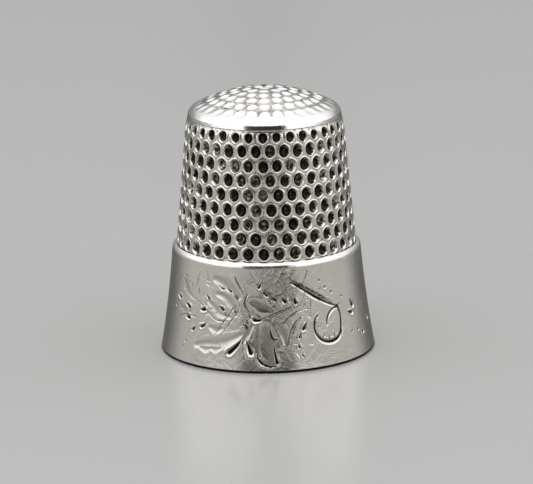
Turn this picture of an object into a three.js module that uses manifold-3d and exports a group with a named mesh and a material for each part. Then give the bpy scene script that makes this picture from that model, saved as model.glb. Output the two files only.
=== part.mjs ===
// A lady's silver sewing thimble, built up from a tapered sleeve, an applied band and a domed cap.
// Millimetres, +Z up. The origin is the centre of the mouth, and the mouth lies in the plane z = 0.

import * as THREE from 'three';
import { mergeGeometries, mergeVertices } from 'three/addons/utils/BufferGeometryUtils.js';
import Module from 'manifold-3d';

const wasm = await Module();
wasm.setup();

// Every turned piece has the same number of sides, so the thin gaps between them stay even.
const TURNED_SIDES = 48;

// Sleeve: the pitted wall of the thimble, which runs on down behind the band to the mouth.
const SLEEVE_WALL = 0.48;
const SLEEVE_MOUTH_RADIUS = 8.50;
const SLEEVE_WAIST = { r: 7.495, z: 8.9 };
const SLEEVE_SHOULDER = { r: 6.52, z: 19.42 };
const SLEEVE_TOP = { r: 6.40, z: 19.74 };

// Band: a collar round the lower part of the sleeve. Its upper edge makes a bright ledge.
const BAND_MOUTH_RADIUS = 9.0;
const BAND_SHOULDER = { r: 7.89, z: 8.58 };
const BAND_LEDGE_TOP = 9.05;
const BAND_FIT_GAP = 0.03;
const BAND_RECESS_DEPTH = 0.08;
const BAND_RECESS = { low: 0.6, high: 8.3 };

// Cap: a domed disc with a rounded shoulder, and a short skirt that locates it in the sleeve.
const CAP_APEX = 22.08;
const CAP_CROWN_RADIUS = 12.4;
const CAP_SHOULDER_RADIUS = 0.82;
const CAP_RADIUS = 6.40;
const CAP_WALL = 0.45;
const CAP_SEAT = 19.82;
const CAP_LIP = 0.02;
const SKIRT_RADIUS = 5.87;
const SKIRT_FOOT = 18.9;

// The two soldered joints. Each film of solder keeps this gap to the metal on either side.
const SOLDER_GAP = 0.02;

// Pits in the sleeve: staggered rows of small conical punch marks.
const PIT = { rows: 9, perRow: 36, topRow: 19.24, rowPitch: 1.199, firstAngle: -1.7 };
const PIT_PUNCH = { radius: 0.38, depth: 0.28, sides: 6 };

// Pits in the cap: rings of shallower marks, three in the first ring and six more in each ring after it.
const CAP_PIT = { rings: 6, ringPitch: 0.99 };
const CAP_PUNCH = { radius: 0.42, depth: 0.14, sides: 4 };

const POLISHED_SILVER = { color: 0xcfccc6, roughness: 0.22, metalness: 1.0 };
const WORN_SILVER = { color: 0xb9b6af, roughness: 0.34, metalness: 1.0 };
const SOLDER = { color: 0x8f8c86, roughness: 0.45, metalness: 1.0 };

// Spins an outline of [radius, height] points about Z, with the metal on the left of each step.
function turned(outline) {
  const points = outline.map(([r, z]) => new THREE.Vector2(r, z));
  const geometry = new THREE.LatheGeometry(points, TURNED_SIDES);
  return geometry.rotateX(Math.PI / 2);
}

// Turns a three.js geometry into a solid that can be cut.
function solidFrom(geometry) {
  const bare = geometry.clone();
  bare.deleteAttribute('normal');
  bare.deleteAttribute('uv');
  const welded = mergeVertices(bare, 1e-5);
  return new wasm.Manifold(new wasm.Mesh({
    numProp: 3,
    vertProperties: new Float32Array(welded.attributes.position.array),
    triVerts: new Uint32Array(welded.index.array),
  }));
}

function geometryFrom(solid) {
  const mesh = solid.getMesh();
  const geometry = new THREE.BufferGeometry();
  geometry.setAttribute('position', new THREE.BufferAttribute(mesh.vertProperties, 3));
  geometry.setIndex(new THREE.BufferAttribute(mesh.triVerts, 1));
  geometry.computeVertexNormals();
  return geometry;
}

// A cone that points into the metal at a place on the surface, and stands a little proud of it.
function pitCutter(place, outward, punch) {
  const height = 1.15 * punch.depth;
  const cone = new THREE.ConeGeometry(1.15 * punch.radius, height, punch.sides);
  cone.rotateX(Math.PI);
  cone.translate(0, 0.5 * height - punch.depth, 0);
  const turn = new THREE.Quaternion().setFromUnitVectors(new THREE.Vector3(0, 1, 0), outward);
  cone.applyQuaternion(turn);
  return cone.translate(place.x, place.y, place.z);
}

// A point at a radius, a height and an angle from the front of the thimble, which faces -Y.
function around(radius, height, degrees) {
  const angle = THREE.MathUtils.degToRad(degrees);
  return new THREE.Vector3(radius * Math.sin(angle), -radius * Math.cos(angle), height);
}

function cutPits(blank, cutters) {
  const tools = solidFrom(mergeGeometries(cutters));
  return geometryFrom(solidFrom(blank).subtract(tools));
}

function sleeveRadius(z) {
  const low = { r: SLEEVE_MOUTH_RADIUS, z: 0 };
  const [from, to] = z < SLEEVE_WAIST.z ? [low, SLEEVE_WAIST] : [SLEEVE_WAIST, SLEEVE_SHOULDER];
  return THREE.MathUtils.mapLinear(z, from.z, to.z, from.r, to.r);
}

function sleeve() {
  const blank = turned([
    [SLEEVE_MOUTH_RADIUS - SLEEVE_WALL, 0.08],
    [SLEEVE_MOUTH_RADIUS - SLEEVE_WALL + 0.08, 0],
    [SLEEVE_MOUTH_RADIUS, 0],
    [SLEEVE_WAIST.r, SLEEVE_WAIST.z],
    [SLEEVE_SHOULDER.r, SLEEVE_SHOULDER.z],
    [SLEEVE_TOP.r, SLEEVE_TOP.z],
    [SLEEVE_TOP.r - SLEEVE_WALL, SLEEVE_TOP.z],
    [SLEEVE_WAIST.r - SLEEVE_WALL, SLEEVE_WAIST.z],
    [SLEEVE_MOUTH_RADIUS - SLEEVE_WALL, 0.08],
  ]);
  const taper = (SLEEVE_WAIST.r - SLEEVE_SHOULDER.r) / (SLEEVE_SHOULDER.z - SLEEVE_WAIST.z);
  const cutters = [];
  for (let row = 0; row < PIT.rows; row++) {
    const z = PIT.topRow - row * PIT.rowPitch;
    for (let i = 0; i < PIT.perRow; i++) {
      const degrees = PIT.firstAngle + (i + 0.5 * (row % 2)) * 360 / PIT.perRow;
      const outward = around(1, taper, degrees).normalize();
      cutters.push(pitCutter(around(sleeveRadius(z), z, degrees), outward, PIT_PUNCH));
    }
  }
  return cutPits(blank, cutters);
}

// The inside of the band is recessed by the depth of the solder film, except near its two edges.
function band() {
  const inner = (z) => sleeveRadius(z) + BAND_FIT_GAP;
  const recessed = (z) => inner(z) + BAND_RECESS_DEPTH;
  return turned([
    [inner(0), 0],
    [BAND_MOUTH_RADIUS - 0.08, 0],
    [BAND_MOUTH_RADIUS, 0.1],
    [BAND_SHOULDER.r, BAND_SHOULDER.z],
    [BAND_SHOULDER.r - 0.06, BAND_SHOULDER.z + 0.17],
    [BAND_SHOULDER.r - 0.19, BAND_SHOULDER.z + 0.34],
    [inner(BAND_LEDGE_TOP), BAND_LEDGE_TOP],
    [inner(BAND_RECESS.high + 0.05), BAND_RECESS.high + 0.05],
    [recessed(BAND_RECESS.high), BAND_RECESS.high],
    [recessed(BAND_RECESS.low), BAND_RECESS.low],
    [inner(BAND_RECESS.low - 0.05), BAND_RECESS.low - 0.05],
    [inner(0), 0],
  ]);
}

function bandSolder() {
  const low = BAND_RECESS.low + 0.1;
  const high = BAND_RECESS.high - 0.1;
  const inner = (z) => sleeveRadius(z) + SOLDER_GAP;
  const outer = (z) => sleeveRadius(z) + BAND_FIT_GAP + BAND_RECESS_DEPTH - SOLDER_GAP;
  return turned([
    [inner(low), low],
    [outer(low), low],
    [outer(high), high],
    [inner(high), high],
    [inner(low), low],
  ]);
}

// Points along the dome, from the axis out over the shoulder to the widest place, moved in by a thickness.
function domeOutline(inset, crownSteps, shoulderSteps) {
  const crownCentre = CAP_APEX - CAP_CROWN_RADIUS;
  const shoulderCentre = CAP_RADIUS - CAP_SHOULDER_RADIUS;
  const meeting = Math.asin(shoulderCentre / (CAP_CROWN_RADIUS - CAP_SHOULDER_RADIUS));
  const shoulderHeight = crownCentre + (CAP_CROWN_RADIUS - CAP_SHOULDER_RADIUS) * Math.cos(meeting);
  const points = [];
  for (let i = 0; i < crownSteps; i++) {
    const lean = meeting * i / crownSteps;
    const reach = CAP_CROWN_RADIUS - inset;
    points.push([reach * Math.sin(lean), crownCentre + reach * Math.cos(lean)]);
  }
  for (let i = 0; i <= shoulderSteps; i++) {
    const lean = THREE.MathUtils.lerp(meeting, Math.PI / 2, i / shoulderSteps);
    const reach = CAP_SHOULDER_RADIUS - inset;
    points.push([shoulderCentre + reach * Math.sin(lean), shoulderHeight + reach * Math.cos(lean)]);
  }
  return points;
}

function cap() {
  const skirtWall = SKIRT_RADIUS - 0.4;
  const inside = domeOutline(CAP_WALL, 3, 2).filter(([r]) => r < skirtWall - 0.05);
  const blank = turned([
    ...inside,
    [skirtWall, 20.1],
    [skirtWall, SKIRT_FOOT],
    [SKIRT_RADIUS, SKIRT_FOOT],
    [SKIRT_RADIUS, CAP_SEAT],
    [CAP_RADIUS - CAP_LIP, CAP_SEAT],
    ...domeOutline(0, 5, 4).reverse(),
  ]);
  const crownCentre = CAP_APEX - CAP_CROWN_RADIUS;
  const cutters = [];
  for (let ring = 0; ring < CAP_PIT.rings; ring++) {
    const count = 3 + 6 * ring;
    const lean = Math.asin((ring + 0.5) * CAP_PIT.ringPitch / CAP_CROWN_RADIUS);
    for (let i = 0; i < count; i++) {
      const degrees = i * 360 / count;
      const outward = around(Math.sin(lean), Math.cos(lean), degrees);
      const place = outward.clone().multiplyScalar(CAP_CROWN_RADIUS);
      place.z += crownCentre;
      cutters.push(pitCutter(place, outward, CAP_PUNCH));
    }
  }
  return cutPits(blank, cutters);
}

function capSolder() {
  const low = SLEEVE_TOP.z + SOLDER_GAP;
  const high = CAP_SEAT - SOLDER_GAP;
  const inner = SKIRT_RADIUS + SOLDER_GAP;
  const outer = CAP_RADIUS - CAP_LIP - SOLDER_GAP;
  return turned([
    [inner, low],
    [outer, low],
    [outer, high],
    [inner, high],
    [inner, low],
  ]);
}

function piece(name, geometry, finish) {
  const mesh = new THREE.Mesh(geometry, new THREE.MeshStandardMaterial(finish));
  mesh.name = name;
  return mesh;
}

const thimble = new THREE.Group();
thimble.name = 'thimble';
thimble.add(piece('sleeve', sleeve(), WORN_SILVER));
thimble.add(piece('band', band(), POLISHED_SILVER));
thimble.add(piece('band_solder', bandSolder(), SOLDER));
thimble.add(piece('cap', cap(), POLISHED_SILVER));
thimble.add(piece('cap_solder', capSolder(), SOLDER));

export default thimble;
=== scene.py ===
import math
import random

import bmesh
import bpy
import numpy as np
from mathutils import Matrix, Vector


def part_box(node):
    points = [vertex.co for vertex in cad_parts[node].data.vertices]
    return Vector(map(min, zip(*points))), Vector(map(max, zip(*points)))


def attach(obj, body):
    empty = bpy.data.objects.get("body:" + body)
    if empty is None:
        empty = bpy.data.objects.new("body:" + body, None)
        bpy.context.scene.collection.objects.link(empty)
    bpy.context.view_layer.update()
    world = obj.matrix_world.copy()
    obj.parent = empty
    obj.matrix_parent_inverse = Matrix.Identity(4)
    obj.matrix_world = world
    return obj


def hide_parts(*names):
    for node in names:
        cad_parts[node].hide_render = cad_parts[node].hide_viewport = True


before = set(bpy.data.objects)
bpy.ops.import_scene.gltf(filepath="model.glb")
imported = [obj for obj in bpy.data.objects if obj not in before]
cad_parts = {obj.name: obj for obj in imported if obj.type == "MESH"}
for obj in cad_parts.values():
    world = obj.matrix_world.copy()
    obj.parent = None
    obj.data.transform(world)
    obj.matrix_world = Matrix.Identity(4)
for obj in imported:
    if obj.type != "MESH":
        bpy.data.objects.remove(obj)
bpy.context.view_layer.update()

mm = 0.001  # shapes below are worked out in millimetres and scaled to metres at the end
dice = random.Random(1880)


# small helpers

def inMillimetres(node):
    low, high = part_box(node)
    return [v / mm for v in low], [v / mm for v in high]


def smoothStep(low, high, x):
    t = np.clip((x - low) / (high - low), 0, 1)
    return t * t * (3 - 2 * t)


def spinOutline(outline, steps, sectors=12):
    # turns an outline of (radius, height) points into a skin round Z
    # one sector is spun, and the others are copies of it
    bm = bmesh.new()
    line = [bm.verts.new((r, 0, z)) for r, z in outline]
    edges = [bm.edges.new(pair) for pair in zip(line, line[1:])]
    bmesh.ops.spin(bm, geom=line + edges, cent=(0, 0, 0), axis=(0, 0, 1), angle=math.tau / sectors,
                   steps=steps // sectors, use_merge=False, use_duplicate=False)
    sector = bm.verts[:] + bm.edges[:] + bm.faces[:]
    for i in range(1, sectors):
        copied = bmesh.ops.duplicate(bm, geom=sector)["geom"]
        bmesh.ops.rotate(bm, cent=(0, 0, 0), matrix=Matrix.Rotation(math.tau * i / sectors, 3, "Z"),
                         verts=[g for g in copied if isinstance(g, bmesh.types.BMVert)])
    bmesh.ops.remove_doubles(bm, verts=bm.verts, dist=1e-4)
    bmesh.ops.recalc_face_normals(bm, faces=bm.faces)
    return bm


def finishPiece(name, bm, node, materials):
    # to metres, into the scene, and onto the CAD body
    bmesh.ops.scale(bm, vec=(mm, mm, mm), verts=bm.verts)
    mesh = bpy.data.meshes.new(name)
    bm.to_mesh(mesh)
    bm.free()
    mesh.shade_smooth()
    for material in materials:
        mesh.materials.append(material)
    piece = bpy.data.objects.new(name, mesh)
    bpy.context.scene.collection.objects.link(piece)
    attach(piece, "root")
    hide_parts(node)
    return piece


def layFloat(mesh, name, values):
    layer = mesh.attributes.new(name, "FLOAT", "POINT")
    layer.data.foreach_set("value", np.asarray(values, np.float32))


def vertexPlaces(mesh):
    # in millimetres
    places = np.zeros(len(mesh.vertices) * 3, np.float32)
    mesh.vertices.foreach_get("co", places)
    return places.reshape(-1, 3).astype(float) / mm


def placeVertices(mesh, places):
    mesh.vertices.foreach_set("co", (places * mm).astype(np.float32).ravel())
    mesh.update()


# camera, floor and studio

camera = {
    "distance": 262.3, "elevation": 13.61, "lookedAt": 11.31,  # mm, degrees, mm up the thimble's axis
    "dip": 0.519, "lean": -0.92, "lens": 211.85, "sensor": 36,  # degrees, degrees, mm, mm
}


def makeCamera():
    rise = math.radians(camera["elevation"])
    place = Vector((0, -math.cos(rise), math.sin(rise))) * camera["distance"]
    place.z += camera["lookedAt"]
    tilt = math.radians(90 - camera["elevation"] - camera["dip"])
    turn = Matrix.Rotation(tilt, 4, "X") @ Matrix.Rotation(math.radians(camera["lean"]), 4, "Z")
    data = bpy.data.cameras.new("camera")
    data.lens = camera["lens"]
    data.sensor_width = camera["sensor"]
    data.clip_start = 0.01
    data.clip_end = 10
    body = bpy.data.objects.new("camera", data)
    body.matrix_world = Matrix.Translation(place * mm) @ turn
    bpy.context.scene.collection.objects.link(body)
    bpy.context.scene.camera = body


studio = {
    "floorSize": 1.6, "floorColour": (0.43, 0.43, 0.43), "floorRoughness": 0.24,
    # how bright the tent is, part by part
    "tent": 1.25, "tentBack": 0.28, "ceiling": 1.12, "opening": 0.035,
    "horizonFront": 0.50, "horizonDip": 0.36, "horizonBack": 0.12, "below": 0.20,
    # where one part fades into the next: how far back or how high a direction points, from -1 to 1
    "backFade": (0.2, 0.85), "ceilingFade": (0.15, 0.75), "tentFade": (0.03, 0.14),
    "frontDipFade": (-0.09, 0.0), "backDipFade": (-0.13, -0.03), "belowFade": (-0.6, -0.12),
    "openingSide": (0.50, 0.66), "openingFoot": (-0.01, 0.02), "openingTop": (0.44, 0.50),
    "softboxPower": 0.35, "softboxSize": (0.45, 0.45), "softboxPlace": (0, -0.06, 0.48),
}


def valueNode(tree, operation, a, b=None, clamp=False):
    node = tree.nodes.new("ShaderNodeMath")
    node.operation = operation
    node.use_clamp = clamp
    for socket, value in zip(node.inputs, (a, b)):
        if isinstance(value, bpy.types.NodeSocket):
            tree.links.new(value, socket)
        elif value is not None:
            socket.default_value = value
    return node.outputs[0]


def rangeNode(tree, value, low, high, toLow=0.0, toHigh=1.0):
    node = tree.nodes.new("ShaderNodeMapRange")
    node.interpolation_type = "SMOOTHSTEP"
    tree.links.new(value, node.inputs["Value"])
    node.inputs["From Min"].default_value = low
    node.inputs["From Max"].default_value = high
    node.inputs["To Min"].default_value = toLow
    node.inputs["To Max"].default_value = toHigh
    return node.outputs["Result"]


def mixValues(tree, share, a, b):
    node = tree.nodes.new("ShaderNodeMix")
    node.data_type = "FLOAT"
    for socket, value in ((node.inputs[0], share), (node.inputs[2], a), (node.inputs[3], b)):
        if isinstance(value, bpy.types.NodeSocket):
            tree.links.new(value, socket)
        else:
            socket.default_value = value
    return node.outputs[0]


def makeTentLight():
    # white overhead and at the sides, dim low down, dimmer behind, and a dark opening in front
    world = bpy.data.worlds.new("light_tent")
    bpy.context.scene.world = world
    world.use_nodes = True
    tree = world.node_tree
    direction = tree.nodes.new("ShaderNodeSeparateXYZ")
    tree.links.new(tree.nodes.new("ShaderNodeTexCoord").outputs["Generated"], direction.inputs[0])
    x, y, z = direction.outputs
    behind = rangeNode(tree, y, *studio["backFade"])
    height = rangeNode(tree, z, *studio["ceilingFade"])
    wallBehind = mixValues(tree, height, studio["tentBack"], studio["ceiling"])
    wall = mixValues(tree, behind, studio["tent"], wallBehind)
    height = rangeNode(tree, z, *studio["backDipFade"])
    lowBehind = mixValues(tree, height, studio["horizonBack"], studio["tentBack"])
    height = rangeNode(tree, z, *studio["frontDipFade"])
    lowAhead = mixValues(tree, height, studio["horizonFront"], studio["horizonDip"])
    low = mixValues(tree, behind, lowAhead, lowBehind)
    low = mixValues(tree, rangeNode(tree, z, *studio["belowFade"]), studio["below"], low)
    light = mixValues(tree, rangeNode(tree, z, *studio["tentFade"]), low, wall)
    ahead = valueNode(tree, "MAXIMUM", valueNode(tree, "MULTIPLY", y, -1), 0.01)
    aside = valueNode(tree, "DIVIDE", valueNode(tree, "ABSOLUTE", x), ahead)
    opening = valueNode(tree, "MULTIPLY", rangeNode(tree, aside, *studio["openingSide"], 1, 0),
                        rangeNode(tree, z, *studio["openingFoot"]))
    opening = valueNode(tree, "MULTIPLY", opening, rangeNode(tree, z, *studio["openingTop"], 1, 0))
    light = mixValues(tree, opening, light, studio["opening"])
    background = tree.nodes["Background"]
    background.inputs["Color"].default_value = (1, 0.997, 0.99, 1)
    tree.links.new(light, background.inputs["Strength"])


def makeSoftbox():
    data = bpy.data.lights.new("softbox", "AREA")
    data.shape = "RECTANGLE"
    data.size, data.size_y = studio["softboxSize"]
    data.energy = studio["softboxPower"]
    lamp = bpy.data.objects.new("softbox", data)
    lamp.location = studio["softboxPlace"]
    bpy.context.scene.collection.objects.link(lamp)


def makeFloor():
    bm = bmesh.new()
    bmesh.ops.create_grid(bm, x_segments=1, y_segments=1, size=studio["floorSize"] / 2)
    mesh = bpy.data.meshes.new("floor")
    bm.to_mesh(mesh)
    bm.free()
    floor = bpy.data.objects.new("floor", mesh)
    bpy.context.scene.collection.objects.link(floor)
    paper = bpy.data.materials.new("pale_floor")
    paper.use_nodes = True
    shader = paper.node_tree.nodes["Principled BSDF"]
    shader.inputs["Base Color"].default_value = (*studio["floorColour"], 1)
    shader.inputs["Roughness"].default_value = studio["floorRoughness"]
    mesh.materials.append(paper)
    floor.visible_glossy = False  # the silver reflects the tent's own dim floor instead


bpy.context.scene.view_settings.view_transform = "Standard"
makeCamera()
makeTentLight()
makeSoftbox()
makeFloor()
print("camera, floor and light tent are up")


# silver

silver = {
    "bright": (0.90, 0.895, 0.885), "warm": (0.90, 0.865, 0.795), "stained": (0.50, 0.465, 0.42),
    "tarnish": (0.016, 0.013, 0.011), "brownTarnish": (0.045, 0.033, 0.026), "capDirt": (0.11, 0.075, 0.06),
    "solderDark": (0.16, 0.15, 0.14), "solderLight": (0.42, 0.41, 0.39),
    "polish": 0.13, "dull": 0.55,  # roughness of the clean and of the tarnished band
}


def darker(colour, share):
    return tuple(share * c for c in colour)


class Recipe:
    # a material's node tree with short ways to wire it

    def __init__(self, name):
        self.material = bpy.data.materials.new(name)
        self.material.use_nodes = True
        self.tree = self.material.node_tree
        self.shader = self.tree.nodes["Principled BSDF"]
        self.shader.inputs["Metallic"].default_value = 1.0

    def attribute(self, name):
        node = self.tree.nodes.new("ShaderNodeAttribute")
        node.attribute_name = name
        return node.outputs["Fac"]

    def place(self, scale=(1, 1, 1)):
        source = self.tree.nodes.new("ShaderNodeTexCoord")
        mapping = self.tree.nodes.new("ShaderNodeMapping")
        mapping.inputs["Scale"].default_value = scale
        self.tree.links.new(source.outputs["Object"], mapping.inputs["Vector"])
        return mapping.outputs["Vector"]

    def alongWall(self, reach, turn):
        # the piece's own map in millimetres round the wall and up it, drawn out along a turned line
        source = self.tree.nodes.new("ShaderNodeUVMap")
        source.uv_map = "wall"
        mapping = self.tree.nodes.new("ShaderNodeMapping")
        mapping.vector_type = "TEXTURE"
        mapping.inputs["Scale"].default_value = (1, reach, 1)
        mapping.inputs["Rotation"].default_value = (0, 0, turn)
        self.tree.links.new(source.outputs["UV"], mapping.inputs["Vector"])
        return mapping.outputs["Vector"]

    def noise(self, vector, scale, detail=3.0, roughness=0.55):
        node = self.tree.nodes.new("ShaderNodeTexNoise")
        self.tree.links.new(vector, node.inputs["Vector"])
        node.inputs["Scale"].default_value = scale
        node.inputs["Detail"].default_value = detail
        node.inputs["Roughness"].default_value = roughness
        return node.outputs["Fac"]

    def ragged(self, deep, grime, amount):
        # breaks up the edge of the dirt with a noise
        swing = valueNode(self.tree, "MULTIPLY", valueNode(self.tree, "SUBTRACT", grime, 0.5), amount)
        return valueNode(self.tree, "ADD", deep, swing)

    def blend(self, share, a, b):
        node = self.tree.nodes.new("ShaderNodeMix")
        node.data_type = "RGBA"
        self.tree.links.new(share, node.inputs[0])
        for socket, value in ((node.inputs[6], a), (node.inputs[7], b)):
            if isinstance(value, bpy.types.NodeSocket):
                self.tree.links.new(value, socket)
            else:
                socket.default_value = (*value, 1)
        return node.outputs[2]

    def bump(self, height, strength, distance):
        node = self.tree.nodes.new("ShaderNodeBump")
        node.inputs["Strength"].default_value = strength
        node.inputs["Distance"].default_value = distance
        self.tree.links.new(height, node.inputs["Height"])
        self.tree.links.new(node.outputs["Normal"], self.shader.inputs["Normal"])

    def feed(self, value, socket):
        self.tree.links.new(value, self.shader.inputs[socket])


def makePittedSilver(name):
    recipe = Recipe(name)
    tree = recipe.tree
    # the sleeve's tarnish attribute is tarnish in the pits, with painted shade deepening the valleys and a
    # painted reflection lightening each pit's upper wall
    deep = recipe.attribute("tarnish")
    grime = recipe.noise(recipe.place(), scale=3600, detail=4, roughness=0.65)
    share = rangeNode(tree, recipe.ragged(deep, grime, 2.0), 0.30, 0.85)
    cloud = recipe.noise(recipe.place(), scale=300, detail=3)
    worn = recipe.blend(cloud, darker(silver["warm"], 0.84), silver["warm"])
    patches = recipe.noise(recipe.place(), scale=900, detail=2)
    brown = recipe.blend(patches, silver["tarnish"], silver["brownTarnish"])
    recipe.feed(recipe.blend(share, worn, brown), "Base Color")
    rough = mixValues(tree, share, 0.13, 0.34)
    unevenness = valueNode(tree, "MULTIPLY", cloud, 0.10)
    recipe.feed(valueNode(tree, "ADD", rough, unevenness, True), "Roughness")
    recipe.bump(recipe.noise(recipe.place(), scale=4200, detail=3), strength=0.45, distance=0.05 * mm)
    return recipe.material


def makeCapSilver(name):
    recipe = Recipe(name)
    tree = recipe.tree
    deep = recipe.attribute("tarnish")
    grime = recipe.noise(recipe.place(), scale=2400, detail=4, roughness=0.7)
    share = rangeNode(tree, recipe.ragged(deep, grime, 0.9), 0.45, 0.95)
    cloud = recipe.noise(recipe.place(), scale=300, detail=3)
    worn = recipe.blend(cloud, darker(silver["bright"], 0.88), silver["bright"])
    recipe.feed(recipe.blend(share, worn, silver["capDirt"]), "Base Color")
    recipe.feed(rangeNode(tree, cloud, 0.3, 0.7, 0.07, 0.15), "Roughness")
    recipe.bump(recipe.noise(recipe.place(), scale=1100, detail=3), strength=0.40, distance=0.06 * mm)
    return recipe.material


def makeBandSilver(name):
    recipe = Recipe(name)
    tree = recipe.tree
    # the band's tarnish attribute is tarnish in the cuts, and at the foot a painted contact shadow
    deep = recipe.attribute("tarnish")
    matte = recipe.attribute("matte")
    grime = recipe.noise(recipe.place(), scale=1600, detail=4, roughness=0.7)
    share = rangeNode(tree, recipe.ragged(deep, grime, 0.35), 0.30, 0.80)
    cloud = recipe.noise(recipe.place(scale=(1, 1, 0.5)), scale=220, detail=4)
    worn = recipe.blend(cloud, darker(silver["warm"], 0.78), silver["warm"])
    # the ledge gets the whiter bright silver: rubbed clean, and also a painted highlight that makes its
    # reflection blow out white
    worn = recipe.blend(recipe.attribute("ledge"), worn, silver["bright"])
    stained = recipe.blend(matte, worn, silver["stained"])
    recipe.feed(recipe.blend(share, stained, silver["tarnish"]), "Base Color")
    # hairlines from handling, in three directions
    lines = None
    for turn, reach in ((0.5, 30), (2.3, 45), (1.35, 24)):
        streak = recipe.noise(recipe.alongWall(reach, turn), scale=9, detail=2)
        line = rangeNode(tree, streak, 0.60, 0.68)
        lines = line if lines is None else valueNode(tree, "MAXIMUM", lines, line)
    dents = recipe.noise(recipe.place(), scale=500, detail=3)
    height = valueNode(tree, "SUBTRACT", dents, valueNode(tree, "MULTIPLY", lines, 0.14))
    recipe.bump(height, strength=0.35, distance=0.06 * mm)
    rough = mixValues(tree, share, silver["polish"], silver["dull"])
    rough = valueNode(tree, "ADD", rough, valueNode(tree, "MULTIPLY", lines, 0.07))
    rough = valueNode(tree, "ADD", rough, valueNode(tree, "MULTIPLY", cloud, 0.12))
    rough = valueNode(tree, "ADD", rough, valueNode(tree, "MULTIPLY", matte, 0.15), True)
    recipe.feed(rough, "Roughness")
    return recipe.material


def makeSolder(name):
    recipe = Recipe(name)
    grain = recipe.noise(recipe.place(), scale=2500, detail=4, roughness=0.7)
    recipe.feed(recipe.blend(grain, silver["solderDark"], silver["solderLight"]), "Base Color")
    recipe.feed(rangeNode(recipe.tree, grain, 0.3, 0.7, 0.35, 0.6), "Roughness")
    recipe.bump(grain, strength=0.4, distance=0.05 * mm)
    return recipe.material


pittedSilver = makePittedSilver("worn_pitted_silver")
capSilver = makeCapSilver("bright_cap_silver")
bandSilver = makeBandSilver("engraved_band_silver")
solderMetal = makeSolder("dull_solder")
print("silver and solder are mixed")


# sleeve: rows of stamped pits, each with its own raised collar, in a tapered wall

sleeve = {
    "rows": 9, "perRow": 36, "topRow": 19.24, "rowPitch": 1.199, "firstAngle": -1.7,
    "waist": (7.495, 8.9), "shoulder": (6.52, 19.42),  # radius and height of the collars' crests
    "valley": 0.015, "zoneTop": 19.66, "zoneFoot": 9.07,  # how deep between collars, and where the pits end
    "neckFoot": 18.7, "neckRadius": 6.385, "neckLean": 10, "neckTop": 19.735,  # the strip under the border
    "tuck": 0.12, "tuckZone": (19.25, 19.6),  # the first row's collars lean in under the border
    "crowdWide": 0.9, "crowdHigh": 0.6,  # and the border crowds that row
    "size": (0.93, 1.05), "depth": (0.8, 1.1), "slide": 0.03, "sixSided": 0.06,  # uneven stamping
    "grime": (0.72, 0.88, 0.97, 1.0, 1.05, 1.1), "valleyTarnishAndShade": 0.38, "upperWallPaintedLight": 0.3,
    "pit": [  # half width and height in pitches, drop, depth and tarnish, from the crest to the floor
        (0.465, 0.530, 0.00, -0.02, 0.00),
        (0.430, 0.495, 0.00, -0.04, 0.00),
        (0.370, 0.430, 0.02, 0.08, 0.62),
        (0.275, 0.320, 0.05, 0.24, 1.05),
        (0.150, 0.180, 0.07, 0.40, 1.15),
    ],
    "wall": 0.48, "top": 6.40, "mouth": 8.50,
}


def crestRadius(z):
    (r1, z1), (r2, z2) = sleeve["waist"], sleeve["shoulder"]
    return r1 + (r2 - r1) * (z - z1) / (z2 - z1)


def neckRadius(z):
    return sleeve["neckRadius"] + (sleeve["neckTop"] - z) * math.tan(math.radians(sleeve["neckLean"]))


def makePitCell():
    # one flat cell: its edge, the rings inset into it and the floor, with each ring numbered
    cell = bmesh.new()
    ring = cell.verts.layers.int.new("ring")
    bmesh.ops.create_circle(cell, cap_ends=True, segments=12, radius=1)
    cell.faces.ensure_lookup_table()
    floor = cell.faces[0]
    for number in range(1, len(sleeve["pit"]) + 1):
        bmesh.ops.inset_individual(cell, faces=[floor], thickness=0.1)
        for v in floor.verts:
            v[ring] = number
    mesh = bpy.data.meshes.new("pit_cell")
    cell.to_mesh(mesh)
    cell.free()
    return mesh


def cellEdge(angle):
    # where the edge of a cell lies, in shares of the pitch: a hexagon standing on its point
    step = round(math.degrees(angle) / 30) % 12
    corners = [step] if step % 2 else [step - 1, step + 1]
    spots = [(math.cos(math.radians(30 * c)) / math.cos(math.pi / 6) / 2,
              math.sin(math.radians(30 * c)) * 2 / 3) for c in corners]
    return sum(s[0] for s in spots) / len(spots), sum(s[1] for s in spots) / len(spots)


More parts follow.
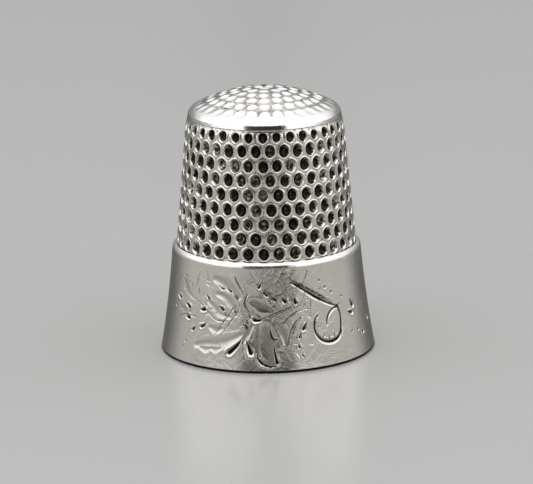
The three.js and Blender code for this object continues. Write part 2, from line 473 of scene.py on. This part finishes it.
def stampPits(bm):
    cell = makePitCell()
    for _ in range(sleeve["rows"] * sleeve["perRow"]):
        bm.from_mesh(cell)
    ring = bm.verts.layers.int["ring"]
    tarnish = bm.verts.layers.float.new("tarnish")
    pitch = math.tau / sleeve["perRow"]
    for number, v in enumerate(bm.verts):
        pit, corner = divmod(number, len(cell.vertices))
        row, i = divmod(pit, sleeve["perRow"])
        if corner == 0:
            middle = math.radians(sleeve["firstAngle"]) + (i + 0.5 * (row % 2)) * pitch
            rowHeight = sleeve["topRow"] - row * sleeve["rowPitch"]
            size, depth = dice.uniform(*sleeve["size"]), dice.uniform(*sleeve["depth"])
            grime = dice.choice(sleeve["grime"])
            slide = [dice.uniform(-sleeve["slide"], sleeve["slide"]) for _ in range(2)]
        around = math.atan2(v.co.y, v.co.x)
        level = v[ring]
        if level == 0:
            across, up = cellEdge(around)
            z = min(max(rowHeight + up * sleeve["rowPitch"], sleeve["zoneFoot"]), sleeve["zoneTop"])
            r = neckRadius(z) if z > sleeve["neckFoot"] else crestRadius(z) - sleeve["valley"]
            angle = middle + across * pitch
            # the valleys between collars are darkened: tarnish, deepened as painted shade that also darkens
            # the sleeve's sides
            v[tarnish] = sleeve["valleyTarnishAndShade"]
        else:
            wide, high, drop, deep, dark = sleeve["pit"][level - 1]
            if row == 0:
                wide *= sleeve["crowdWide"]
                high *= sleeve["crowdHigh"] if math.sin(around) > 0 else 1
            wide *= 1 - sleeve["sixSided"] * (1 + math.cos(6 * around))
            swell, slideAcross, slideUp = (size, *slide) if level > 1 else (0.5 + 0.5 * size, 0, 0)
            z = rowHeight + high * sleeve["rowPitch"] * swell * math.sin(around) + slideUp - drop
            r = crestRadius(z) - deep * depth - sleeve["tuck"] * smoothStep(*sleeve["tuckZone"], z)
            angle = middle + (wide * swell * math.cos(around) + slideAcross) * pitch
            # the upper wall of each pit gets less tarnish: a painted reflection that lightens the top of
            # every pit
            v[tarnish] = grime * dark * (1 - sleeve["upperWallPaintedLight"] * max(math.sin(around), 0))
        v.co = (r * math.sin(angle), -r * math.cos(angle), z)
    bmesh.ops.remove_doubles(bm, verts=bm.verts, dist=1e-3)


def runOn(bm, edges, outline):
    # carries an open edge on through (radius, height) points, and returns the last loop's edges
    for r, z in outline:
        made = bmesh.ops.extrude_edge_only(bm, edges=edges)["geom"]
        edges = [g for g in made if isinstance(g, bmesh.types.BMEdge)]
        for v in {v for e in edges for v in e.verts}:
            share = r / math.hypot(v.co.x, v.co.y)
            v.co = (v.co.x * share, v.co.y * share, z)
    return edges


def makeSleeve():
    low, high = inMillimetres("sleeve")
    bm = bmesh.new()
    stampPits(bm)
    rims = [e for e in bm.edges if e.is_boundary]
    halfway = (low[2] + high[2]) / 2
    upper = [e for e in rims if e.verts[0].co.z > halfway]
    lower = [e for e in rims if e.verts[0].co.z < halfway]
    top, foot = high[2], low[2]
    mouth = sleeve["mouth"]
    innerTop, innerMouth = sleeve["top"] - sleeve["wall"], mouth - sleeve["wall"]
    behindBand = runOn(bm, upper, [
        # over the top edge
        (6.391, 19.70), (6.38, top - 0.008), (6.34, top),
        (innerTop + 0.08, top), (innerTop, top - 0.05), (innerTop + 0.03, top - 0.4),
        # down the inside
        (6.25, 17.0), (7.015, 9.1), (7.06, 8.6), (7.9, 1.0), (innerMouth, 0.22), (innerMouth + 0.03, 0.06),
        # round the mouth and up behind the band
        (innerMouth + 0.12, foot), (mouth - 0.08, foot), (mouth - 0.01, 0.05), (mouth - 0.03, 0.3),
        (8.40, 1.0), (7.55, 8.5), (7.40, 8.95),
    ])
    bmesh.ops.bridge_loops(bm, edges=behindBand + lower)
    bmesh.ops.recalc_face_normals(bm, faces=bm.faces)
    piece = finishPiece("pitted_sleeve", bm, "sleeve", [pittedSilver])
    smooth = piece.modifiers.new("smooth", "SUBSURF")
    smooth.levels = smooth.render_levels = 1


makeSleeve()
print("sleeve is stamped")


# cap: a dome with rings of shallow pits inside a smooth rounded border

cap = {
    "crown": 12.4, "shoulder": 0.82, "wall": 0.45, "seat": 19.82, "turns": 320,
    "skirt": 5.87, "skirtWall": 0.4, "foot": 18.9,
    "flank": (0.19, 13),  # the lowest part of the border: its height in mm, and its lean in degrees
    "rings": 6, "ringPitch": 0.99, "pitDepth": 0.14, "pitReach": 0.455, "pittedTo": 5.95,
    "depthSpread": (0.65, 1.3), "sizeSpread": (0.9, 1.08), "slide": 0.03, "turnSpread": 0.04,
    "lastRing": 0.45,  # the last ring is shallower
    "dirt": (0, 0.2, 0.4, 0.8, 1.2), "innerDirt": 0.2, "ridgeDirt": 0.69, "dirtFade": (5.5, 5.9),
}


def capExtent():
    # its widest radius, and the height of the centre that the crown is struck from
    high = inMillimetres("cap")[1]
    return high[0], high[2] - cap["crown"]


def domeLine(inset, crownStep, shoulderSteps):
    # from the axis out to the widest place
    widest, base = capExtent()
    tall, leanOut = cap["flank"][0], math.radians(cap["flank"][1])
    reach = widest - tall * math.tan(leanOut) - cap["shoulder"] * math.cos(leanOut)
    lean = math.asin(reach / (cap["crown"] - cap["shoulder"]))
    height = base + (cap["crown"] - cap["shoulder"]) * math.cos(lean)
    steps = round(lean * cap["crown"] / crownStep)
    line = []
    for i in range(steps):
        a = lean * i / steps
        line.append(((cap["crown"] - inset) * math.sin(a), base + (cap["crown"] - inset) * math.cos(a)))
    for i in range(shoulderSteps + 1):
        a = lean + (math.pi / 2 - leanOut - lean) * i / shoulderSteps
        r = cap["shoulder"] - inset
        line.append((reach + r * math.sin(a), height + r * math.cos(a)))
    return line


def capPits():
    pits = []
    for ring in range(cap["rings"]):
        count = 3 + 6 * ring
        for i in range(count):
            angle = math.tau * (i + dice.uniform(-cap["turnSpread"], cap["turnSpread"])) / count
            r = (ring + 0.5) * cap["ringPitch"] + dice.uniform(-cap["slide"], cap["slide"])
            depth = cap["pitDepth"] * dice.uniform(*cap["depthSpread"])
            if ring == cap["rings"] - 1:
                depth *= cap["lastRing"]
            dirt = dice.choice(cap["dirt"]) if ring > 1 else cap["innerDirt"]
            size = dice.uniform(*cap["sizeSpread"])
            pits.append((r * math.sin(angle), -r * math.cos(angle), depth, size, dirt))
    return np.array(pits)


def makeCapBlank():
    widest = capExtent()[0]
    skirt, seat, foot = cap["skirt"], cap["seat"], cap["foot"]
    skirtInside = skirt - cap["skirtWall"]
    inside = [p for p in domeLine(cap["wall"], 0.9, 4) if p[0] < skirtInside - 0.1]
    edge = [
        (skirtInside, 20.15), (skirtInside, foot + 0.08), (skirtInside + 0.08, foot),
        (skirt - 0.1, foot), (skirt, foot + 0.12), (skirt, seat),
        # a thin lip hangs outside the solder and hides it
        (6.367, seat), (6.372, seat - 0.055), (6.386, seat - 0.065), (widest, seat - 0.05),
        (widest - 0.005, seat - 0.03),
    ]
    return spinOutline(inside + edge + domeLine(0, 0.10, 12)[::-1], cap["turns"])


def makeCap():
    bm = makeCapBlank()
    piece = finishPiece("domed_cap", bm, "cap", [capSilver])
    places = vertexPlaces(piece.data)
    pits = capPits()
    reach = np.hypot(places[:, 0], places[:, 1])
    base = capExtent()[1]
    outer = (np.hypot(reach, places[:, 2] - base) > cap["crown"] - 0.1) & (reach < cap["pittedTo"])
    spots = places[outer]
    gap = np.hypot(spots[:, None, 0] - pits[None, :, 0], spots[:, None, 1] - pits[None, :, 1])
    gap = gap / pits[None, :, 3] / cap["ringPitch"]
    bowl = np.clip(1 - (gap / cap["pitReach"]) ** 2, 0, 1)
    depth = (pits[None, :, 2] * bowl ** 0.85).max(1)
    normal = spots - np.array((0, 0, base))
    normal /= np.linalg.norm(normal, axis=1)[:, None]
    places[outer] -= normal * depth[:, None]
    # dirt lies against the outer wall of some pits, and on the ridges between them
    middles = np.hypot(pits[:, 0], pits[:, 1])
    outward = (spots[:, :2] @ pits[:, :2].T) / middles[None, :] - middles[None, :]
    crescent = smoothStep(0.12, 0.30, outward) * (1 - smoothStep(0.36, 0.48, gap))
    ridge = 1 - smoothStep(0, 0.3, bowl.max(1))
    dirt = np.maximum((crescent * pits[None, :, 4]).max(1), cap["ridgeDirt"] * ridge)
    tarnish = np.zeros(len(places))
    tarnish[outer] = dirt * (1 - smoothStep(*cap["dirtFade"], np.hypot(spots[:, 0], spots[:, 1])))
    placeVertices(piece.data, places)
    layFloat(piece.data, "tarnish", tarnish)


makeCap()
print("cap is domed and pitted")


# band: a turned collar with a bright ledge, engraved with a spray of leaves and a scroll

band = {
    "mouth": 9.0, "shoulder": (7.89, 8.58), "hollow": 0.10,
    "turns": 720, "rows": 112, "crowding": 0.2,  # how much closer together the columns are in front
    "footTop": 0.12, "paintedFootShadowTop": 0.20,  # mm up, where the wall starts and where the painted contact shadow at the foot ends
    "lobeWidth": 1.15, "lobeDepth": 0.75, "chipSize": 1.15,  # on the sizes given in the spray
    "stemNicks": 22, "leafNicks": 60, "leftNicks": 34, "scratches": 310, "crowdedScratches": 210,
}


def wallRadius(height):
    # the band leans in a little more at its foot than at its top
    r, z = band["shoulder"]
    share = height / z
    return band["mouth"] + (r - band["mouth"]) * share - 4 * band["hollow"] * share * (1 - share)


def makeBandBlank():
    (r, z), top = band["shoulder"], inMillimetres("band")[1][2]
    foot = [(8.53, 0.06), (8.58, 0.0), (8.78, 0.0), (8.87, 0.02), (8.935, 0.06)]
    wall = []
    for i in range(band["rows"] + 1):
        height = band["footTop"] + (z - band["footTop"]) * i / band["rows"]
        wall.append((wallRadius(height), height))
    ledge = [
        (r - 0.020, z + 0.10), (r - 0.052, z + 0.22), (r - 0.09, z + 0.30), (r - 0.14, z + 0.36),
        (r - 0.21, z + 0.41), (r - 0.30, z + 0.445), (r - 0.365, top - 0.005), (r - 0.385, top - 0.03),
        (r - 0.375, top - 0.15),
    ]
    inside = [(7.535, 8.4), (8.50, 0.3)]
    outline = foot + wall + ledge + inside
    return spinOutline(outline + [outline[0]], band["turns"])


# each cut: its width and depth in mm, and the (degrees from the front, height) points it runs through
sprayStems = [
    (0.10, 0.05, [(-9, 4.4), (-5, 4.4), (0, 4.65), (5, 4.95), (10, 5.2), (16, 5.55)]),
    (0.22, 0.065, [(14, 7.35), (18, 7.0), (22, 6.6), (30, 5.85), (38, 5.2), (44, 4.85)]),
    (0.08, 0.04, [(12.5, 7.75), (18, 7.25), (24, 6.75), (31, 6.1), (37, 5.55)]),
    (0.07, 0.04, [(-62, 3.6), (-57, 4.0), (-51, 4.15), (-44, 4.1)]),
    (0.08, 0.04, [(8, 4.0), (12, 4.6), (18, 5.0), (24, 5.1)]),
    (0.09, 0.05, [(20.5, 4.6), (16, 4.15), (13, 3.5), (11.5, 2.9), (10.8, 2.4)]),
    (0.06, 0.035, [(18.5, 4.35), (15.5, 3.8), (13.2, 3.1), (12.2, 2.6)]),
    (0.13, 0.07, [(-11.5, 6.45), (-13, 6.0), (-12.8, 5.6), (-11, 5.2)]),
    (0.08, 0.045, [(-10.5, 5.2), (-10, 4.8), (-8.6, 4.4)]),
    (0.08, 0.04, [(-47, 5.6), (-42, 5.3), (-36, 4.7), (-31, 4.2), (-24, 4.1)]),
    (0.07, 0.03, [(-31, 2.9), (-24.5, 4.3), (-18, 5.6)]),
    (0.07, 0.03, [(-27.5, 2.8), (-21.5, 4.1), (-15.5, 5.4)]),
    (0.06, 0.03, [(25.6, 5.8), (25.3, 5.0), (25.2, 4.2)]),
    (0.07, 0.035, [(24.5, 8.4), (23.3, 7.8), (21.3, 7.25)]),
    (0.07, 0.03, [(-55.5, 7.6), (-54.5, 6.9), (-53.2, 6.3)]),
    (0.07, 0.035, [(-43.5, 7.9), (-45, 7.2), (-46.5, 6.5)]),
    (0.07, 0.035, [(-38.5, 8.2), (-37.3, 7.6), (-35.8, 7.3)]),
    (0.07, 0.035, [(-50, 6.9), (-49.2, 6.5), (-47.8, 6.1)]),
    (0.07, 0.035, [(-19.5, 8.0), (-17, 7.3), (-14.3, 6.7)]),
]
sprayScroll = [
    (0.23, 0.085, [(44, 4.85), (45.6, 4.2), (45.7, 3.4), (44.4, 2.65), (41, 2.2), (36, 2.1), (31.5, 2.3),
                  (28.3, 2.8), (27, 3.4), (27.3, 4.0), (29.5, 4.4)]),
    (0.16, 0.07, [(45, 4.75), (41, 4.75), (37.5, 4.45), (35.6, 4.0), (35.2, 3.5)]),
    (0.07, 0.035, [(45.8, 3.4), (45.4, 2.7), (44.2, 2.1)]),
    (0.07, 0.035, [(48, 5.1), (44.5, 4.95), (40.5, 5.05)]),
    (0.08, 0.035, [(35.8, 2.2), (36.0, 2.75)]),
    (0.08, 0.035, [(31.8, 2.4), (32.8, 2.9)]),
    (0.08, 0.035, [(40, 2.3), (39.4, 2.8)]),
]
# chip cuts: narrow at the first place and wide at the last
sprayChips = [
    (0.24, 0.11, [(-14.5, 2.75), (-18, 2.1), (-21.5, 1.6)]),
    (0.24, 0.12, [(-11.6, 2.6), (-10.6, 2.1), (-9.4, 1.65)]),
    (0.20, 0.10, [(-3.5, 4.35), (-5.5, 4.3), (-7.5, 4.35)]),
    (0.17, 0.08, [(3.2, 2.3), (3.7, 1.6), (4.6, 0.85)]),
    (0.16, 0.08, [(-6.2, 1.6), (-5.4, 1.15), (-3.2, 0.8)]),
    (0.14, 0.07, [(4.5, 0.6), (1, 0.55), (-2, 0.7)]),
    (0.13, 0.07, [(0.8, 3.9), (1.5, 3.3), (2.2, 2.95)]),
    (0.11, 0.05, [(5.4, 2.9), (3.6, 2.75), (2.2, 2.95)]),
    (0.17, 0.08, [(22.3, 3.95), (21.2, 3.7), (20.2, 3.45)]),
    (0.12, 0.06, [(18.6, 3.15), (18, 2.95), (17.6, 2.8)]),
    (0.12, 0.06, [(16.6, 2.35), (17, 2.15), (17.3, 2.0)]),
    (0.09, 0.05, [(18.4, 1.5), (18.8, 1.35), (19.1, 1.25)]),
    (0.15, 0.07, [(-3.6, 7.35), (-4.3, 7.15), (-5, 7.0)]),
    (0.17, 0.08, [(8.2, 6.15), (9.2, 5.95), (10.3, 5.8)]),
    (0.17, 0.08, [(15.6, 6.15), (15.9, 5.9), (16.2, 5.65)]),
    (0.14, 0.07, [(-2.6, 6.7), (-1.6, 6.5), (-0.4, 6.35)]),
    (0.14, 0.06, [(2.2, 6.3), (3.4, 6.1), (4.8, 5.95)]),
    (0.20, 0.09, [(-54.5, 5.0), (-52.8, 4.9), (-51, 4.75)]),
    (0.19, 0.09, [(-41.8, 4.85), (-40.3, 4.8), (-38.8, 4.85)]),
    (0.19, 0.09, [(-53.4, 3.95), (-52, 3.9), (-50.4, 3.9)]),
    (0.16, 0.08, [(-36.8, 3.75), (-38.3, 3.55), (-40.2, 3.4)]),
    (0.15, 0.06, [(-44.2, 3.3), (-45.5, 3.15), (-46.6, 3.0)]),
    (0.16, 0.08, [(-29, 5.3), (-27.6, 5.2), (-26.2, 5.05)]),
    (0.17, 0.08, [(-64, 5.5), (-62.2, 5.4), (-60.4, 5.3)]),
    (0.13, 0.06, [(-37.8, 6.1), (-36.8, 5.95), (-35.8, 5.8)]),
    (0.19, 0.09, [(55.2, 5.1), (56.3, 4.8), (57.4, 4.5)]),
    (0.18, 0.09, [(52.2, 4.15), (53.8, 4.05), (55.8, 3.95)]),
    (0.11, 0.05, [(-29, 6.95), (-27.5, 6.8), (-26, 6.75)]),
    (0.11, 0.05, [(-24, 6.9), (-22.8, 6.75), (-21.4, 6.6)]),
    (0.14, 0.06, [(-13.5, 4.05), (-12.5, 3.9), (-11.6, 3.7)]),
]
# leaf lobes: broad shallow scoops
sprayLobes = [
    (0.55, 0.055, [(-32, 7.5), (-26, 7.25), (-20, 6.75), (-16.5, 6.2)]),
    (0.42, 0.05, [(-30, 6.3), (-25, 6.1), (-20, 5.5), (-17, 4.9)]),
    (0.40, 0.045, [(-36, 5.6), (-32, 5.2), (-27, 4.7), (-22, 4.5)]),
    (0.36, 0.05, [(-34, 3.5), (-30, 3.35), (-26.5, 3.5)]),
    (0.50, 0.055, [(-43, 1.85), (-36, 2.15), (-28, 2.3), (-20, 2.75), (-13, 3.3)]),
    (0.30, 0.05, [(-40, 1.7), (-36, 1.65), (-33, 1.75)]),
    (0.30, 0.05, [(-33, 1.8), (-29.5, 1.75), (-27, 1.9)]),
    (0.42, 0.05, [(-9, 3.9), (-12, 3.2), (-13.5, 2.6)]),
    (0.45, 0.055, [(-5.5, 3.8), (-6, 2.9), (-5.8, 2.0), (-4.5, 1.4)]),
    (0.70, 0.06, [(-1.5, 3.8), (-0.6, 3.0), (0.6, 2.0), (1.6, 1.2)]),
    (0.45, 0.05, [(4, 4.3), (7, 3.8), (9, 3.1), (9.6, 2.4)]),
    (0.40, 0.045, [(-9, 5.9), (-5, 5.7), (-1, 5.4), (2.5, 5.2)]),
    (0.36, 0.04, [(-58, 6.9), (-54, 6.2), (-48, 5.6)]),
    (0.36, 0.04, [(-60, 4.6), (-56, 4.5), (-50, 4.4)]),
    (0.60, 0.02, [(-4, 1.0), (1, 0.8), (6, 0.9)]),
    (0.32, 0.03, [(12, 7.6), (22, 6.75), (31, 5.95), (40, 5.2)]),
]
# punched dots: degrees from the front, height and size
sprayDots = [
    (-52, 1.95, 0.11), (-53.6, 1.5, 0.09), (-65, 4.55, 0.14), (-34, 5.0, 0.08), (-30.8, 4.75, 0.07),
    (32, 7.3, 0.11), (35.6, 6.65, 0.13), (40, 6.15, 0.13), (47.8, 5.6, 0.11),
    (54.3, 2.45, 0.12), (60.5, 2.4, 0.15), (65.8, 2.0, 0.19), (76, 2.8, 0.2),
    (29.5, 3.5, 0.07), (38.5, 3.1, 0.07),
]


def smoothCurve(points, perSpan=8):
    # a Catmull-Rom curve through the points
    ends = [points[0], *points, points[-1]]
    curve = []
    for a, b, c, d in zip(ends, ends[1:], ends[2:], ends[3:]):
        for k in range(perSpan):
            t = k / perSpan
            curve.append([0.5 * (2 * q + (r - p) * t + (2 * p - 5 * q + 4 * r - s) * t ** 2
                                 + (3 * q - p - 3 * r + s) * t ** 3) for p, q, r, s in zip(a, b, c, d)])
    return np.array(curve + [list(points[-1])])


class Engraver:
    # works on the band's wall laid flat: millimetres round it from the front, and millimetres up

    def __init__(self, across, up):
        self.across, self.up = across, up
        self.depth, self.burr, self.tarnish, self.matte = (np.zeros(len(up)) for _ in range(4))

    def cut(self, curve, width, depth, taper, shape, grime=1.0, matte=0.0, burr=0.0):
        # taper gives the width at the start, middle and end as shares of the whole
        reach = 2.2 * width
        low, high = curve.min(0) - reach, curve.max(0) + reach
        near = np.flatnonzero((self.across > low[0]) & (self.across < high[0])
                              & (self.up > low[1]) & (self.up < high[1]))
        if not len(near):
            return
        spots = np.column_stack((self.across[near], self.up[near]))
        lengths = np.linalg.norm(np.diff(curve, axis=0), axis=1)
        along = np.concatenate(([0], np.cumsum(lengths))) / lengths.sum()
        best = np.full(len(near), 1e9)
        for a, b, start, end in zip(curve, curve[1:], along, along[1:]):
            line = b - a
            t = np.clip((spots - a) @ line / (line @ line + 1e-12), 0, 1)
            local = width * np.interp(start + (end - start) * t, (0, 0.5, 1), taper)
            away = np.linalg.norm(spots - a - t[:, None] * line, axis=1)
            best = np.minimum(best, away / np.maximum(local, 0.01))
        if shape == "vee":
            share = np.clip(1 - best, 0, 1)
        else:
            share = np.clip(1 - best ** 2, 0, 1) ** 2
        self.depth[near] = np.maximum(self.depth[near], depth * share)
        self.tarnish[near] = np.maximum(self.tarnish[near], grime * smoothStep(0.0, 0.75, share))
        self.matte[near] = np.maximum(self.matte[near], matte * share)
        raised = np.exp(-((best - 1.25) / 0.22) ** 2)  # metal pushed up just outside the cut
        self.burr[near] = np.maximum(self.burr[near], burr * depth * raised)


def engraveSpray(engraver, radius, middle, mirror):
    def laid(points):
        flat = [(math.radians(middle + mirror * a) * radius, z) for a, z in points]
        return smoothCurve(flat)

    for width, depth, points in sprayLobes:
        engraver.cut(laid(points), band["lobeWidth"] * width, band["lobeDepth"] * depth, (0.5, 1, 0.4),
                     "scoop", grime=dice.uniform(0.15, 0.45),
                     matte=1.0 if points[0][0] > -12 else 0.6, burr=0.3)
    for width, depth, points in sprayStems + sprayScroll:
        engraver.cut(laid(points), width, depth, (0.5, 1, 0.45), "vee", grime=0.8, burr=0.25)
    for width, depth, points in sprayChips:
        engraver.cut(laid(points), band["chipSize"] * width, band["chipSize"] * depth, (0.15, 0.7, 1),
                     "vee", burr=0.6)
    nickStem(engraver, radius, middle, mirror)
    nickLeaves(engraver, radius, middle, mirror)
    for angle, z, size in sprayDots:
        curve = laid([(angle, z), (angle + 0.3, z - 0.05)])
        engraver.cut(curve, size, 0.6 * size, (1, 1, 0.8), "vee", burr=0.3)


def nickStem(engraver, radius, middle, mirror):
    # small cuts across the long stem make it look like a cord
    for i in range(band["stemNicks"]):
        share = (i + dice.uniform(-0.3, 0.3)) / band["stemNicks"]
        angle, z = 14 + 27 * share, 7.4 - 2.3 * share + 0.15 * math.sin(math.pi * share)
        length = dice.uniform(0.18, 0.34)
        across = math.radians(middle + mirror * angle) * radius
        start = (across - mirror * length / 2, z - length * 0.3)
        end = (across + mirror * length / 2, z + length * 0.3)
        engraver.cut(smoothCurve([start, end], 3), 0.09, dice.uniform(0.03, 0.06), (0.6, 1, 0.6), "vee",
                     grime=dice.uniform(0.4, 0.9), burr=0.4)


def nickLeaves(engraver, radius, middle, mirror):
    # the worn leaves are full of small stray cuts, and most of them are on the left
    for i in range(band["leafNicks"]):
        left = i < band["leftNicks"]
        angle = dice.uniform(-60, -14) if left else dice.uniform(-14, 24)
        z = dice.uniform(4.3, 7.6) if left else dice.uniform(1.6, 6.6)
        start = (math.radians(middle + mirror * angle) * radius, z)
        length, lean = dice.uniform(0.15, 0.6), dice.uniform(-2.2, 0.4)
        end = (start[0] + mirror * length * math.cos(lean), z + length * math.sin(lean))
        width, depth = dice.uniform(0.05, 0.10), dice.uniform(0.02, 0.05)
        engraver.cut(smoothCurve([start, end], 3), width, depth, (0.4, 1, 0.6), "vee",
                     grime=dice.uniform(0.2, 0.8), burr=0.4)


def scratchWall(engraver, radius):
    # handling scratches: a thick crop over the middle of the spray, and a few everywhere else
    for i in range(band["scratches"]):
        crowded = i < band["crowdedScratches"]
        angle = dice.gauss(6, 8) if crowded else dice.uniform(-180, 180)
        z = dice.gauss(6.9, 0.9) if crowded else dice.uniform(0.4, 8.4)
        length, lean = dice.uniform(0.4, 2.0), dice.uniform(-1.4, 1.4)
        start = (math.radians(angle) * radius, z)
        end = (start[0] + length * math.cos(lean), z + length * math.sin(lean))
        bow = [(a + b) / 2 + dice.uniform(-0.1, 0.1) for a, b in zip(start, end)]
        depth = dice.uniform(0.005, 0.013)
        grime = dice.uniform(0.3, 0.7) if crowded else dice.uniform(0.2, 0.5)
        engraver.cut(smoothCurve([start, bow, end], 3), 0.055, depth, (0.4, 1, 0.4), "vee",
                     grime=grime, matte=0.9 if crowded else 0)


def makeBand():
    bm = makeBandBlank()
    piece = finishPiece("engraved_band", bm, "band", [bandSilver])
    mesh = piece.data
    places = vertexPlaces(mesh)
    shoulder, top = band["shoulder"]
    angle = np.arctan2(places[:, 0], -places[:, 1])
    angle -= band["crowding"] * np.sin(angle)
    reach, height = np.hypot(places[:, 0], places[:, 1]), places[:, 2]
    wall = (np.abs(reach - wallRadius(height)) < 0.002) & (height < top + 0.01)
    radius = (band["mouth"] + shoulder) / 2
    engraver = Engraver(angle[wall] * radius, height[wall])
    engraveSpray(engraver, radius, 0, 1)
    for turn in (-180, 180):
        engraveSpray(engraver, radius, turn, -1)
    scratchWall(engraver, radius)
    reach[wall] += engraver.burr * (engraver.depth < 0.01) - engraver.depth
    tarnish, matte = np.zeros(len(places)), np.zeros(len(places))
    tarnish[wall], matte[wall] = engraver.tarnish, engraver.matte
    # painted contact shadow: the foot is given full tarnish colour to stand in for the shade and dark gap
    # where it meets the floor
    tarnish[height < band["paintedFootShadowTop"]] = 1.0
    ledge = smoothStep(top, top + 0.1, height)
    places[:, 0], places[:, 1] = reach * np.sin(angle), -reach * np.cos(angle)
    placeVertices(mesh, places)
    layFloat(mesh, "tarnish", tarnish)
    layFloat(mesh, "matte", matte)
    layFloat(mesh, "ledge", ledge)
    layWallMap(mesh, angle * radius, height)


def layWallMap(mesh, across, up):
    # a map of the wall in millimetres. The faces that close the circle behind run on past half a turn
    corners = np.zeros(len(mesh.loops), np.int32)
    mesh.loops.foreach_get("vertex_index", corners)
    flat = np.column_stack((across[corners], up[corners]))
    sides = np.array([len(f.vertices) for f in mesh.polygons])
    first = np.repeat(flat[np.concatenate(([0], np.cumsum(sides)[:-1])), 0], sides)
    turn = math.tau * band["shoulder"][0]
    flat[:, 0] += np.where(flat[:, 0] - first > turn / 3, -2 * np.abs(across).max(), 0)
    flat[:, 0] += np.where(flat[:, 0] - first < -turn / 3, 2 * np.abs(across).max(), 0)
    mesh.uv_layers.new(name="wall").data.foreach_set("uv", flat.astype(np.float32).ravel())


makeBand()
print("band is turned and engraved")

# the solder stays as the CAD made it
for node in ("band_solder", "cap_solder"):
    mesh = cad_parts[node].data
    mesh.materials.clear()
    mesh.materials.append(solderMetal)
